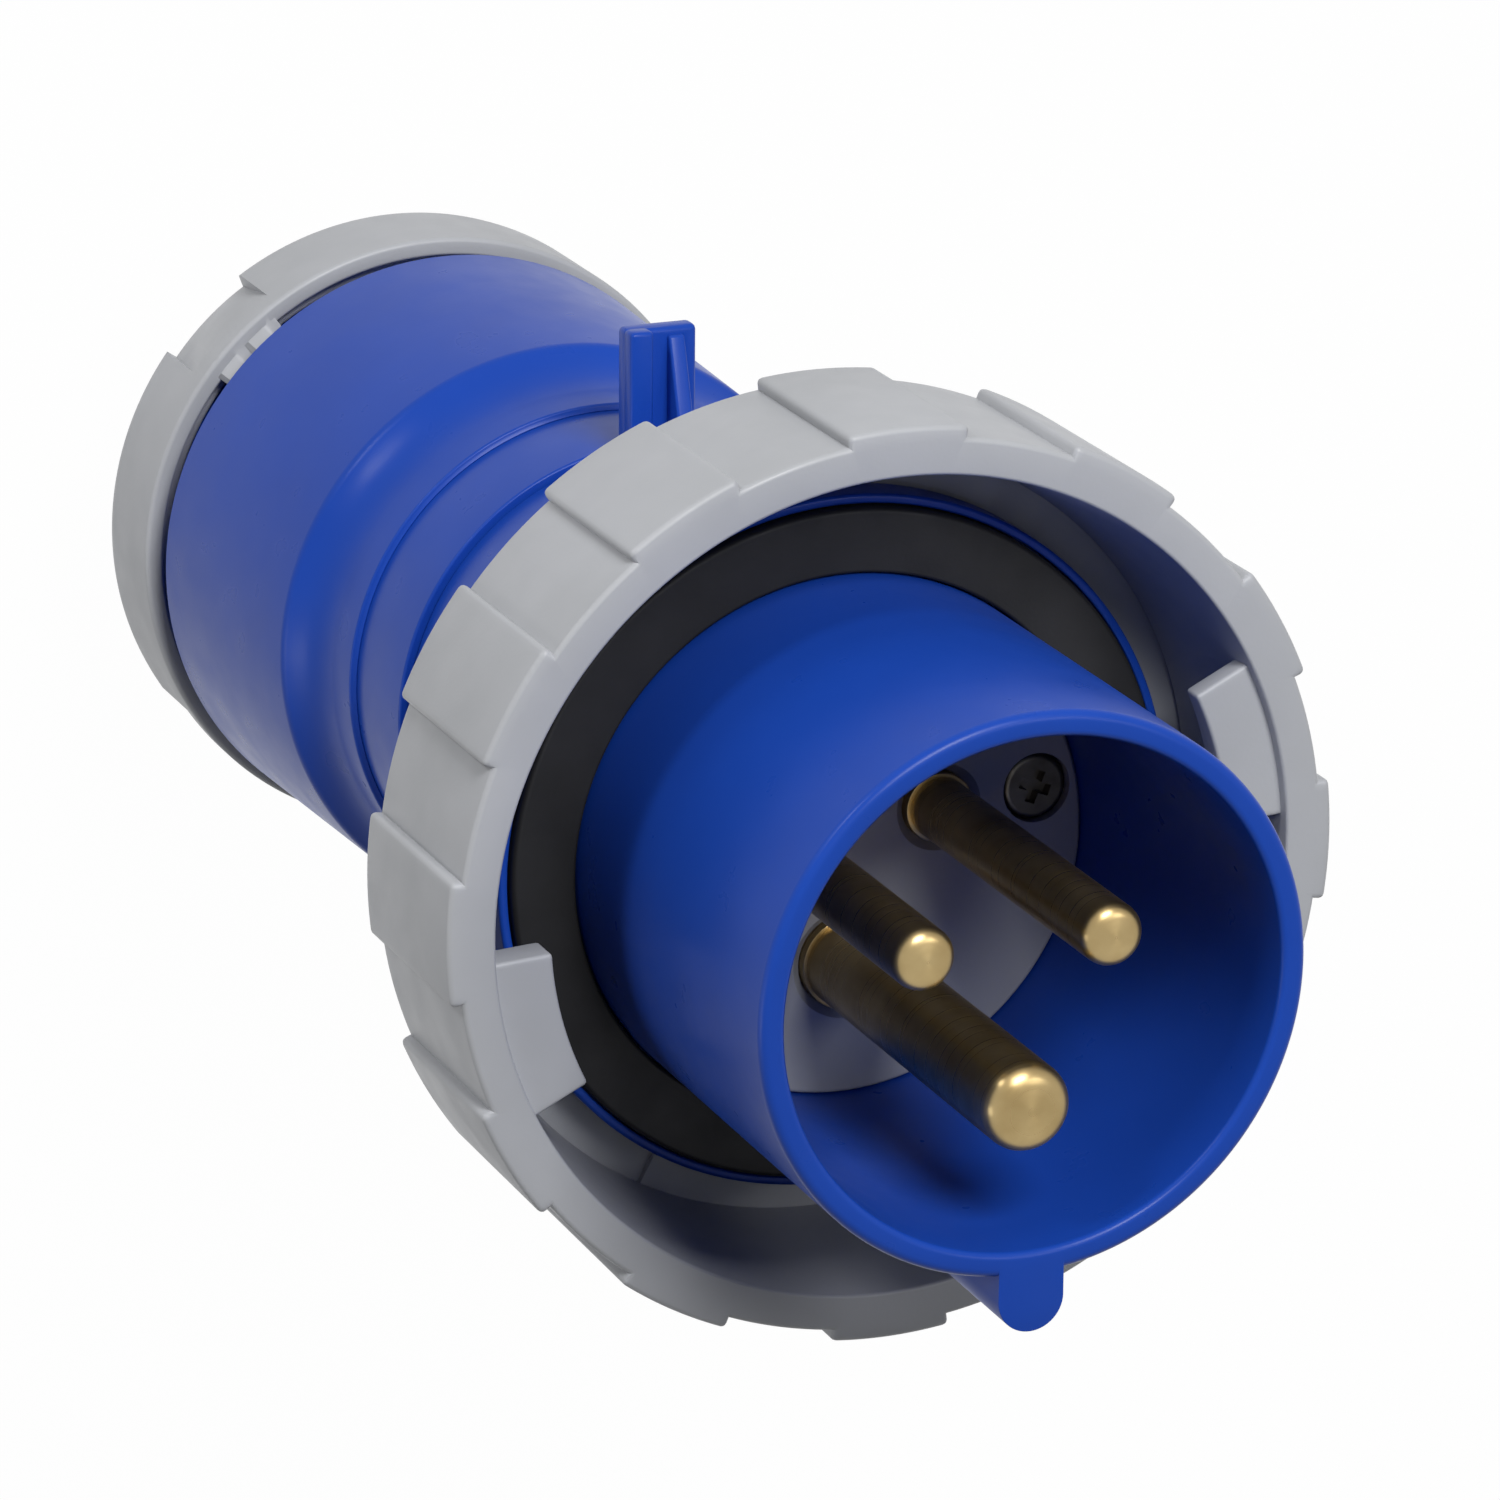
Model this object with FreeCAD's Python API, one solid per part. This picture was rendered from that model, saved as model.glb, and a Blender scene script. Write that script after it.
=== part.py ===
"""Industrial pin and sleeve plug, 16 A, two poles and earth, with a bayonet locking ring.

The pieces are drawn with the plug's axis along Y. The mouth of the sleeve lies at y = 0
and the plug mates towards -Y, so every piece behind the mouth has a positive y. The
retaining nose is at twelve o'clock, on the +Z side, and the keyway rib and the earth pin
are at six o'clock. A clock angle is measured in degrees from +Z towards +X.
Each piece is then turned to stand the plug on its gland nut, with the mouth facing +Z and
the nose on the +Y side. All lengths are in millimetres.
"""
import FreeCAD, Part
import math
import os

Vector = FreeCAD.Vector
ORIGIN = Vector(0, 0, 0)
AXIS = Vector(0, 1, 0)

# Clearances
running_clearance = 0.06
slip_clearance = 0.15
axial_gap = 0.3
thread_clearance = 0.4

# Edges, and how far joined or cutting shapes run into each other
edge = 0.3
soft_edge = 0.5
weld = 0.5
run_past = 1.0

# Sleeve and the sealing flange behind it
sleeve_diameter = 44.0
sleeve_wall = 2.05
sleeve_length = 36.6
rim_rounding = 0.75
gasket_width = 5.2
gasket_thickness = 2.8
gasket_proud = 0.7
flange_rim_wall = 0.75
flange_wall = 1.5
snap_lip = 0.9
shoulder_height = 1.4
shoulder_wall = 1.8

# Keyway rib on the sleeve
key_width = 5.3
key_height = 4.4

# Locking ring
ring_width = 18.3
collar_room = 0.75
ring_wall = 3.0
web_thickness = 2.4
pad_count = 12
pad_height = 0.9
pad_angle = 15.6
pad_clock = 0.3
lug_count = 2
lug_height = 4.8
lug_angle = 23.0
lug_clock = 75.0
lug_setback = 0.9
lug_thickness = 3.2
lug_ramp = 5.0
lug_ramp_share = 0.2
web_pad_angle = 88.0
web_pad_clock = -15.0
web_pad_height = 0.5
ring_travel = 60.0
stop_angle = 5.0
stop_clock = 110.0
stop_height = 2.2
stop_play = 0.8

# Neck, retaining nose and the spigot that carries the rear housing
neck_length = 31.9
neck_radius = 21.2
neck_flare = 9.0
neck_rounding = 8.0
shoulder_rounding = 0.8
flare_rounding = 2.0
cavity_radius = 16.6
spigot_length = 16.0
spigot_wall = 3.0
seal_section = 2.0
seal_setback = 5.0
nose_width = 6.2
nose_height = 11.1
nose_wall = 1.9
nose_setback = 0.7
nose_post_width = 2.0
nose_post_depth = 1.2
nose_rib_width = 1.4
nose_rib_offset = 1.2
nose_rib_foot = 4.0
nose_rib_drop = 0.7
nose_rib_lead = 0.4
nose_rounding = 0.9
flare_step = 1.5
flare_height = 3.5
seal_groove_width = 2.6

# Pins and their carrier
carrier_depth = 35.3
carrier_thickness = 8.8
carrier_clearance = 0.1
tower_wall = 1.2
tower_length = 14.0
core_radius = 5.3
core_length = 7.4
line_pin_diameter = 5.0
earth_pin_diameter = 7.0
line_pin_x = 7.6
line_pin_z = 2.8
earth_pin_z = -9.1
line_tip_depth = 2.8
earth_tip_depth = 0.4
pin_tip_rounding = 1.0
pin_stop_wall = 3.2
pin_collar_step = 0.3
pin_collar_proud = 0.2
pin_countersink = 0.7
terminal_wall = 1.6
line_wire_hole = 4.2
earth_wire_hole = 5.0
wire_hole_depth = 11.0
terminal_screw_diameter = 3.5
terminal_screw_setback = 4.0
terminal_head_diameter = 5.6
terminal_head_height = 1.6
terminal_slot_width = 0.8
plate_thickness = 0.6
plate_place = 0.7
plate_lip = 2.2
plate_setback = 1.5
carrier_screw_diameter = 3.0
carrier_screw_head = 5.4
carrier_screw_radius = 16.3
carrier_screw_clock = 78.0
carrier_screw_length = 14.0
carrier_screw_sink = 2.4
carrier_screw_point = 2.0
cross_recess_width = 0.9
cross_recess_depth = 1.0
cross_recess_clock = 20.0
boss_wall = 1.5
boss_length = 11.0
pilot_depth = 9.5

# Rear housing
seam_step = 0.7
collar_length = 10.4
collar_step = 0.6
cove_length = 9.5
cove_angle = 48.0
cove_rounding = 8.8
barrel_shoulder = 2.6
barrel_taper = 1.0
barrel_length = 28.8
barrel_wall = 2.7
barrel_inner_rounding = 1.5
thread_radius = 23.6
thread_length = 12.7
thread_wall = 2.2
seal_tube_wall = 2.0
seat_wall = 2.5
seat_depth = 18.5
seat_ledge = 4.8

# Cable gland
seal_radius = 15.8
seal_bore = 6.0
seal_length = 11.5
seal_taper = 2.5
cage_base = 3.0
cage_finger_wall = 3.2
cage_bore = 9.0
cage_finger_count = 10
cage_slot = 1.4
cage_slot_foot = 0.6
cage_tip_slope = 1.2
washer_thickness = 1.5
washer_overlap = 0.6
washer_overhang = 0.3
nut_gap = 2.7
nut_length = 21.0
nut_grip_length = 10.5
nut_wall = 3.0
nut_shoulder_rounding = 2.2
nut_rear_rounding = 1.8
nut_rear_radius = 16.5
nut_rim_width = 1.6
nut_rim_depth = 2.0
nut_cable_hole = 10.5
nut_rear_wall = 2.8
nut_recess_count = 4
nut_recess_angle = 20.0
nut_recess_clock = -43.0
nut_recess_depth = 1.7
nut_recess_start = 2.5
nut_pawl_count = 2
nut_pawl_angle = 16.0
nut_pawl_reach = 1.6
nut_pawl_inset = 0.4

# Places worked out from the sizes, from the mouth to the rear
sleeve_radius = sleeve_diameter / 2
bore_radius = sleeve_radius - sleeve_wall
gasket_inner_radius = sleeve_radius + slip_clearance
gasket_outer_radius = gasket_inner_radius + gasket_width
rim_inner_radius = gasket_outer_radius + slip_clearance
lip_radius = rim_inner_radius + flange_rim_wall
hub_radius = lip_radius - snap_lip
shoulder_radius = hub_radius + shoulder_height
collar_radius = neck_radius + seam_step
cove_radius = collar_radius + collar_step
spigot_radius = cavity_radius + spigot_wall
carrier_radius = bore_radius - carrier_clearance
key_tip_radius = sleeve_radius + key_height
web_bore_radius = hub_radius + running_clearance
lug_inner_radius = gasket_outer_radius + collar_room
ring_inner_radius = lug_inner_radius + lug_height
ring_outer_radius = ring_inner_radius + ring_wall
pad_radius = ring_outer_radius + pad_height
thread_bore_radius = thread_radius + thread_clearance
nut_radius = thread_bore_radius + nut_wall
barrel_rear_radius = thread_radius + barrel_shoulder
barrel_front_radius = barrel_rear_radius - barrel_taper

gasket_floor_y = sleeve_length + gasket_thickness
flange_rim_y = sleeve_length + gasket_proud
lip_rear_y = gasket_floor_y + flange_wall
web_front_y = lip_rear_y + axial_gap
web_rear_y = web_front_y + web_thickness
shoulder_front_y = web_rear_y + axial_gap
shoulder_rear_y = shoulder_front_y + shoulder_wall
ring_front_y = web_rear_y - ring_width
seam_y = shoulder_rear_y + neck_length
spigot_end_y = seam_y + spigot_length
step_y = seam_y + collar_length
barrel_front_y = step_y + cove_length
barrel_rear_y = barrel_front_y + barrel_length
thread_end_y = barrel_rear_y + thread_length
seal_seat_y = thread_end_y - seat_depth
cage_y = seal_seat_y + seal_length
finger_y = cage_y + cage_base
nut_front_y = barrel_rear_y + nut_gap
nut_shoulder_y = nut_front_y + nut_grip_length
nut_rear_y = nut_front_y + nut_length
carrier_seat_y = carrier_depth + carrier_thickness
tower_end_y = carrier_seat_y + tower_length
collar_bore_radius = spigot_radius + slip_clearance
seal_groove_radius = collar_bore_radius - seal_section - running_clearance
seal_groove_y = seam_y + seal_setback
barrel_bore_radius = barrel_front_radius - barrel_wall
seal_tube_bore = seal_radius + slip_clearance
seal_tube_radius = seal_tube_bore + seal_tube_wall
seat_hole_radius = seal_radius - seat_ledge
washer_rear_y = nut_rear_y - nut_rear_wall - axial_gap
washer_front_y = washer_rear_y - washer_thickness
finger_end_y = washer_front_y - axial_gap
washer_bore_radius = cage_bore + washer_overlap
washer_radius = seal_radius + washer_overhang
pin_stop_y = carrier_depth + pin_stop_wall
terminal_screw_y = tower_end_y - terminal_screw_setback


def tangent_reaches(points, roundings):
    """How far each rounding reaches along its two edges, kept within their lengths."""
    count = len(points)
    reaches = []
    for i in range(count):
        back = points[i - 1] - points[i]
        ahead = points[(i + 1) % count] - points[i]
        turn = math.pi - back.getAngle(ahead)
        reaches.append(roundings[i] * math.tan(turn / 2))
    for i in range(count):
        j = (i + 1) % count
        room = 0.98 * (points[j] - points[i]).Length
        share = min(1, room / max(reaches[i] + reaches[j], 1e-9))
        reaches[i] *= share
        reaches[j] *= share
    return reaches


def outline(points, roundings):
    """A flat face bounded by straight edges whose corners are rounded by tangent arcs."""
    reaches = tangent_reaches(points, roundings)
    count = len(points)
    starts = []
    ends = []
    arcs = []
    for i in range(count):
        back = (points[i - 1] - points[i]).normalize()
        ahead = (points[(i + 1) % count] - points[i]).normalize()
        start = points[i] + back * reaches[i]
        end = points[i] + ahead * reaches[i]
        arc = None
        if reaches[i] > 1e-4:
            inward = (back + ahead).normalize()
            half = back.getAngle(ahead) / 2
            radius = reaches[i] * math.tan(half)
            middle = points[i] + inward * (reaches[i] / math.cos(half) - radius)
            arc = Part.Arc(start, middle, end).toShape()
        starts.append(start)
        ends.append(end)
        arcs.append(arc)
    edges = []
    for i in range(count):
        if arcs[i]:
            edges.append(arcs[i])
        edges.append(Part.LineSegment(ends[i], starts[(i + 1) % count]).toShape())
    return Part.Face(Part.Wire(edges))


def corner_lists(corners):
    """Split (a, b) or (a, b, rounding) corners into two lists of places and one of roundings."""
    first = [corner[0] for corner in corners]
    second = [corner[1] for corner in corners]
    roundings = [corner[2] if len(corner) > 2 else 0 for corner in corners]
    return first, second, roundings


def turned(corners, sweep=360.0, clock=0.0):
    """Turn a section of (y, radius, rounding) corners about the plug's axis.

    A sweep under 360 gives a sector centred on the clock angle.
    """
    ys, radii, roundings = corner_lists(corners)
    points = [Vector(0, y, r) for y, r in zip(ys, radii)]
    solid = outline(points, roundings).revolve(ORIGIN, AXIS, sweep)
    if sweep < 360:
        solid.rotate(ORIGIN, AXIS, clock - sweep / 2)
    return solid


def side_plate(corners, x, width):
    """A plate of (y, z, rounding) corners, centred on x and as thick as width."""
    ys, zs, roundings = corner_lists(corners)
    points = [Vector(x - width / 2, y, z) for y, z in zip(ys, zs)]
    return outline(points, roundings).extrude(Vector(width, 0, 0))


def cross_slab(corners, y, length):
    """A slab of (x, z, rounding) corners that runs backwards from y."""
    xs, zs, roundings = corner_lists(corners)
    points = [Vector(x, y, z) for x, z in zip(xs, zs)]
    return outline(points, roundings).extrude(Vector(0, length, 0))


def rod(radius, length, start, direction):
    """A round rod from its start along a direction."""
    return Part.makeCylinder(radius, length, start, direction)


def on_clock(radius, clock, y=0.0):
    """The point at a radius and clock angle."""
    angle = math.radians(clock)
    return Vector(radius * math.sin(angle), y, radius * math.cos(angle))


def union(shapes):
    """One clean solid from several that meet."""
    return shapes[0].multiFuse(shapes[1:]).removeSplitter()


def save(name, solids):
    """Stand a node's solid, or its group of solids, on its rear end and write it to its own file."""
    for solid in solids:
        if not solid.isValid():
            raise ValueError("invalid solid in " + name)
    shape = solids[0] if len(solids) == 1 else Part.makeCompound(solids)
    shape.rotate(ORIGIN, Vector(1, 0, 0), -90)
    shape.exportStep("parts/" + name + ".step")
    print(name, len(shape.Solids), round(shape.Volume), "mm3")


def keyway_rib():
    """The round-ended rib under the sleeve that lets the plug in one way only."""
    half = key_width / 2
    root = -(sleeve_radius - sleeve_wall / 2)
    rib_end_y = sleeve_length - axial_gap
    corners = [(-half, root), (half, root), (half, -key_tip_radius, half), (-half, -key_tip_radius, half)]
    return cross_slab(corners, 0, rib_end_y)


def retaining_nose():
    """The nose on top of the neck: a back wall with a post and a sloping rib before it."""
    root = neck_radius - spigot_wall / 2
    top = neck_radius + nose_height
    wall_y = seam_y - nose_setback - nose_wall
    half = nose_width / 2
    wall_corners = [(-half, root), (half, root), (half, top, nose_rounding), (-half, top, nose_rounding)]
    wall = cross_slab(wall_corners, wall_y, nose_wall)
    post_x = -half + nose_post_width / 2
    post_y = wall_y - nose_post_depth
    post_corners = [(post_y, root), (wall_y + weld, root), (wall_y + weld, top), (post_y, top, soft_edge)]
    post = side_plate(post_corners, post_x, nose_post_width)
    rib_top = top - nose_rib_drop
    rib_corners = [
        (wall_y - nose_rib_foot, root),
        (wall_y + weld, root),
        (wall_y + weld, rib_top),
        (wall_y - nose_rib_lead, rib_top, edge),
    ]
    rib = side_plate(rib_corners, nose_rib_offset, nose_rib_width)
    return [wall, post, rib]


def screw_places():
    """The clock angles of the two screws that hold the carrier."""
    return [carrier_screw_clock, -carrier_screw_clock]


def make_front_housing():
    """Sleeve, sealing flange, hub for the locking ring, neck and spigot, moulded as one."""
    section = [
        (0, bore_radius, soft_edge),
        (0, sleeve_radius, rim_rounding),
        (gasket_floor_y, sleeve_radius),
        (gasket_floor_y, rim_inner_radius),
        (flange_rim_y, rim_inner_radius, edge),
        (flange_rim_y, lip_radius, edge),
        (lip_rear_y, lip_radius, edge),
        (lip_rear_y, hub_radius),
        (shoulder_front_y, hub_radius),
        (shoulder_front_y, shoulder_radius, edge),
        (shoulder_rear_y, shoulder_radius, shoulder_rounding),
        (shoulder_rear_y + flare_step, neck_radius + flare_height, flare_rounding),
        (shoulder_rear_y + neck_flare, neck_radius, neck_rounding),
        (seam_y, neck_radius, edge),
        (seam_y, spigot_radius),
        (seal_groove_y, spigot_radius),
        (seal_groove_y, seal_groove_radius),
        (seal_groove_y + seal_groove_width, seal_groove_radius),
        (seal_groove_y + seal_groove_width, spigot_radius),
        (spigot_end_y, spigot_radius, soft_edge),
        (spigot_end_y, cavity_radius),
        (carrier_seat_y, cavity_radius),
        (carrier_seat_y, bore_radius),
    ]
    shapes = [turned(section), keyway_rib()]
    shapes.extend(retaining_nose())
    stop_radius = hub_radius + stop_height
    stop_section = [
        (lip_rear_y - weld, hub_radius - run_past),
        (lip_rear_y - weld, hub_radius),
        (lip_rear_y, stop_radius),
        (shoulder_front_y + weld, stop_radius),
        (shoulder_front_y + weld, hub_radius - run_past),
    ]
    shapes.append(turned(stop_section, stop_angle, stop_clock))
    boss_radius = carrier_screw_diameter / 2 + boss_wall
    for clock in screw_places():
        place = on_clock(carrier_screw_radius, clock, carrier_seat_y)
        shapes.append(rod(boss_radius, boss_length, place, AXIS))
    body = union(shapes)
    for clock in screw_places():
        place = on_clock(carrier_screw_radius, clock, carrier_seat_y - run_past)
        pilot = rod(carrier_screw_diameter / 2 + running_clearance, pilot_depth + run_past, place, AXIS)
        body = body.cut(pilot)
    return body


def make_face_gasket():
    """Flat rubber ring that the socket's collar is drawn against."""
    section = [
        (sleeve_length, gasket_inner_radius, edge),
        (sleeve_length, gasket_outer_radius, edge),
        (gasket_floor_y, gasket_outer_radius),
        (gasket_floor_y, gasket_inner_radius),
    ]
    return turned(section)


def ring_lugs():
    """Inward lugs, thin at the end that leads, which draw the collar in as the ring turns."""
    lug_front_y = ring_front_y + lug_setback
    lug_rear_y = lug_front_y + lug_thickness
    lugs = []
    for i in range(lug_count):
        clock = lug_clock + 360 / lug_count * i
        section = [
            (lug_front_y, lug_inner_radius, edge),
            (lug_front_y, ring_inner_radius + ring_wall / 2),
            (lug_rear_y, ring_inner_radius + ring_wall / 2),
            (lug_rear_y, lug_inner_radius, edge),
        ]
        lug = turned(section, lug_angle, clock)
        reach = ring_outer_radius * 2
        cutter = Part.makeBox(reach, reach, reach, Vector(-reach / 2, 0, 0))
        cutter.rotate(ORIGIN, Vector(0, 0, 1), lug_ramp)
        cutter.translate(Vector(0, lug_rear_y - lug_thickness * lug_ramp_share, 0))
        cutter.rotate(ORIGIN, AXIS, clock)
        lugs.append(lug.cut(cutter))
    return lugs


def make_locking_ring():
    """Bayonet ring: grip pads outside, two ramped lugs inside, and a web that runs on the hub."""
    section = [
        (ring_front_y, ring_inner_radius, edge),
        (ring_front_y, ring_outer_radius, soft_edge),
        (web_rear_y, ring_outer_radius, soft_edge),
        (web_rear_y, web_bore_radius),
        (web_front_y, web_bore_radius),
        (web_front_y, ring_inner_radius, soft_edge),
    ]
    shapes = [turned(section)]
    for i in range(pad_count):
        pad_section = [
            (ring_front_y, ring_outer_radius - ring_wall / 2),
            (ring_front_y, pad_radius, soft_edge),
            (web_rear_y, pad_radius, soft_edge),
            (web_rear_y, ring_outer_radius - ring_wall / 2),
        ]
        shapes.append(turned(pad_section, pad_angle, pad_clock + 360 / pad_count * i))
    shapes.extend(ring_lugs())
    for i in range(lug_count):
        pad_section = [
            (web_front_y - web_pad_height, lip_radius + axial_gap),
            (web_front_y - web_pad_height, ring_inner_radius + ring_wall / 2),
            (web_front_y + weld, ring_inner_radius + ring_wall / 2),
            (web_front_y + weld, lip_radius + axial_gap),
        ]
        shapes.append(turned(pad_section, web_pad_angle, web_pad_clock + 360 / lug_count * i))
    ring = union(shapes)
    notch_radius = hub_radius + stop_height + 2 * axial_gap
    notch = [
        (web_front_y - run_past, hub_radius - run_past),
        (web_front_y - run_past, notch_radius),
        (web_rear_y + run_past, notch_radius),
        (web_rear_y + run_past, hub_radius - run_past),
    ]
    notch_angle = stop_angle + ring_travel + 2 * stop_play
    return ring.cut(turned(notch, notch_angle, stop_clock + ring_travel / 2))


def pin_rows():
    """Name, x, z, pin radius, tip y, wire hole radius and screw direction of each pin."""
    line = (line_pin_diameter / 2, line_tip_depth, line_wire_hole / 2, 1)
    earth = (earth_pin_diameter / 2, earth_tip_depth, earth_wire_hole / 2, -1)
    return [
        ("live", -line_pin_x, line_pin_z) + line,
        ("neutral", line_pin_x, line_pin_z) + line,
        ("earth", 0.0, earth_pin_z) + earth,
    ]


def make_carrier():
    """Insulating disc that fills the sleeve, with a tower behind it round each terminal."""
    disc = [
        (carrier_depth, 0),
        (carrier_depth, carrier_radius, edge),
        (carrier_seat_y, carrier_radius),
        (carrier_seat_y, 0),
    ]
    shapes = [turned(disc)]
    core_z = (2 * line_pin_z + earth_pin_z) / 3
    core_place = Vector(0, carrier_seat_y - run_past, core_z)
    shapes.append(rod(core_radius, core_length + run_past, core_place, AXIS))
    for name, x, z, radius, tip_y, wire_radius, up in pin_rows():
        tower_radius = wire_radius + terminal_wall + running_clearance + tower_wall
        foot = Vector(x, carrier_seat_y - run_past, z)
        shapes.append(rod(tower_radius, tower_length + run_past, foot, AXIS))
    body = union(shapes)
    for name, x, z, radius, tip_y, wire_radius, up in pin_rows():
        terminal_radius = wire_radius + terminal_wall
        hole_radius = radius + pin_collar_step + running_clearance
        face = Vector(x, carrier_depth, z)
        holes = [
            rod(hole_radius, pin_stop_wall + run_past, face, AXIS),
            Part.makeCone(hole_radius + pin_countersink, hole_radius, pin_countersink, face, AXIS),
            rod(terminal_radius + running_clearance, tower_end_y, Vector(x, pin_stop_y, z), AXIS),
            rod(terminal_head_diameter / 2 + axial_gap, tower_end_y, Vector(x, terminal_screw_y, z),
                Vector(0, 0, up)),
        ]
        for hole in holes:
            body = body.cut(hole)
    for clock in screw_places():
        place = on_clock(carrier_screw_radius, clock, carrier_depth)
        body = body.cut(rod(carrier_screw_head / 2 + slip_clearance, carrier_screw_sink, place, AXIS))
        body = body.cut(rod(carrier_screw_diameter / 2 + slip_clearance, carrier_thickness, place, AXIS))
    return body


def make_pin(x, z, radius, tip_y, wire_radius, up):
    """A turned brass pin whose rear end is bored for the wire and tapped across for its screw."""
    terminal_radius = wire_radius + terminal_wall
    collar_radius = radius + pin_collar_step
    section = [
        (tip_y, 0),
        (tip_y, radius, pin_tip_rounding),
        (carrier_depth - pin_collar_proud, radius),
        (carrier_depth - pin_collar_proud, collar_radius, running_clearance),
        (pin_stop_y, collar_radius),
        (pin_stop_y, terminal_radius, edge),
        (tower_end_y, terminal_radius, edge),
        (tower_end_y, wire_radius, edge),
        (tower_end_y - wire_hole_depth, wire_radius),
        (tower_end_y - wire_hole_depth, 0),
    ]
    pin = turned(section)
    thread_hole = rod(terminal_screw_diameter / 2 + running_clearance, terminal_radius * 2,
                      Vector(0, terminal_screw_y, 0), Vector(0, 0, up))
    pin = pin.cut(thread_hole)
    pin.translate(Vector(x, 0, z))
    return pin


def make_terminal_screw(x, z, wire_radius, up):
    """A slotted screw that presses the wire down through its plate."""
    head_start = wire_radius + terminal_wall + slip_clearance
    tip = wire_radius * plate_place
    shaft = rod(terminal_screw_diameter / 2, head_start - tip, Vector(0, terminal_screw_y, up * tip),
                Vector(0, 0, up))
    head = rod(terminal_head_diameter / 2, terminal_head_height,
               Vector(0, terminal_screw_y, up * head_start), Vector(0, 0, up))
    slot_depth = terminal_head_height / 2
    slot_base = up * (head_start + terminal_head_height - slot_depth)
    slot = Part.makeBox(terminal_head_diameter * 2, terminal_slot_width, slot_depth * 2)
    slot.translate(Vector(-terminal_head_diameter, terminal_screw_y - terminal_slot_width / 2, 0))
    slot.translate(Vector(0, 0, slot_base if up > 0 else slot_base - slot_depth * 2))
    screw = union([head, shaft]).cut(slot)
    screw.translate(Vector(x, 0, z))
    return screw


def make_pressure_plate(x, z, wire_radius, up):
    """A bent plate between the screw and the wire, hooked over the end of the terminal."""
    top = wire_radius * plate_place
    width = 2 * math.sqrt(wire_radius ** 2 - top ** 2) - 2 * slip_clearance
    front_y = tower_end_y - wire_hole_depth + plate_setback
    bottom = top - plate_thickness
    corners = [
        (front_y, bottom),
        (tower_end_y + plate_thickness, bottom, plate_thickness),
        (tower_end_y + plate_thickness, bottom + plate_lip),
        (tower_end_y, bottom + plate_lip),
        (tower_end_y, top),
        (front_y, top),
    ]
    plate = side_plate(corners, 0, width)
    if up < 0:
        plate = plate.mirror(ORIGIN, Vector(0, 0, 1))
    plate.translate(Vector(x, 0, z))
    return plate


def make_carrier_screw(clock):
    """A cross-recessed screw through the carrier into its boss in the housing."""
    head_y = carrier_depth + axial_gap
    neck_y = carrier_depth + carrier_screw_sink
    head_radius = carrier_screw_head / 2
    section = [
        (head_y, 0),
        (head_y, head_radius, soft_edge),
        (neck_y, head_radius),
        (neck_y, carrier_screw_diameter / 2),
        (neck_y + carrier_screw_length - carrier_screw_point, carrier_screw_diameter / 2),
        (neck_y + carrier_screw_length, 0),
    ]
    screw = turned(section)
    corner = Vector(-head_radius / 2, head_y, -cross_recess_width / 2)
    for turn in (0, 90):
        recess = Part.makeBox(head_radius, cross_recess_depth, cross_recess_width, corner)
        recess.rotate(ORIGIN, AXIS, turn + cross_recess_clock)
        screw = screw.cut(recess)
    screw.translate(on_clock(carrier_screw_radius, clock))
    return screw


def make_housing_seal():
    """O-ring in the spigot's groove."""
    centre_radius = seal_groove_radius + seal_section / 2 + running_clearance / 2
    centre_y = seal_groove_y + seal_groove_width / 2
    return Part.makeTorus(centre_radius, seal_section / 2, Vector(0, centre_y, 0), AXIS)


def make_rear_housing():
    """Collar, cove and barrel, with the threaded gland mouth and the seat of the cable seal."""
    slope = math.radians(cove_angle)
    cove_turn_y = barrel_front_y - (barrel_front_radius - cove_radius) / math.tan(slope)
    thread_tube_bore = thread_radius - thread_wall
    section = [
        (seam_y, collar_bore_radius),
        (seam_y, collar_radius, edge),
        (step_y, collar_radius),
        (step_y, cove_radius, edge),
        (cove_turn_y, cove_radius, cove_rounding),
        (barrel_front_y, barrel_front_radius, soft_edge),
        (barrel_rear_y, barrel_rear_radius, edge),
        (barrel_rear_y, thread_radius),
        (thread_end_y, thread_radius, soft_edge),
        (thread_end_y, seal_tube_bore, edge),
        (seal_seat_y, seal_tube_bore),
        (seal_seat_y, seat_hole_radius),
        (seal_seat_y - seat_wall, seat_hole_radius, edge),
        (seal_seat_y - seat_wall, seal_tube_radius, edge),
        (thread_end_y - thread_wall, seal_tube_radius, edge),
        (thread_end_y - thread_wall, thread_tube_bore, edge),
        (barrel_rear_y - barrel_wall, thread_tube_bore, edge),
        (barrel_rear_y - barrel_wall, barrel_bore_radius, barrel_inner_rounding),
        (barrel_front_y + barrel_wall, barrel_bore_radius, barrel_inner_rounding),
        (spigot_end_y + axial_gap, collar_bore_radius, soft_edge),
    ]
    return turned(section)


def make_gland_seal():
    """Rubber bush that closes on the cable when the nut is tightened."""
    section = [
        (seal_seat_y, seal_bore, soft_edge),
        (seal_seat_y, seal_radius, soft_edge),
        (cage_y, seal_radius, soft_edge),
        (cage_y, seal_bore + seal_taper),
        (cage_y - seal_taper, seal_bore, soft_edge),
    ]
    return turned(section)


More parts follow.
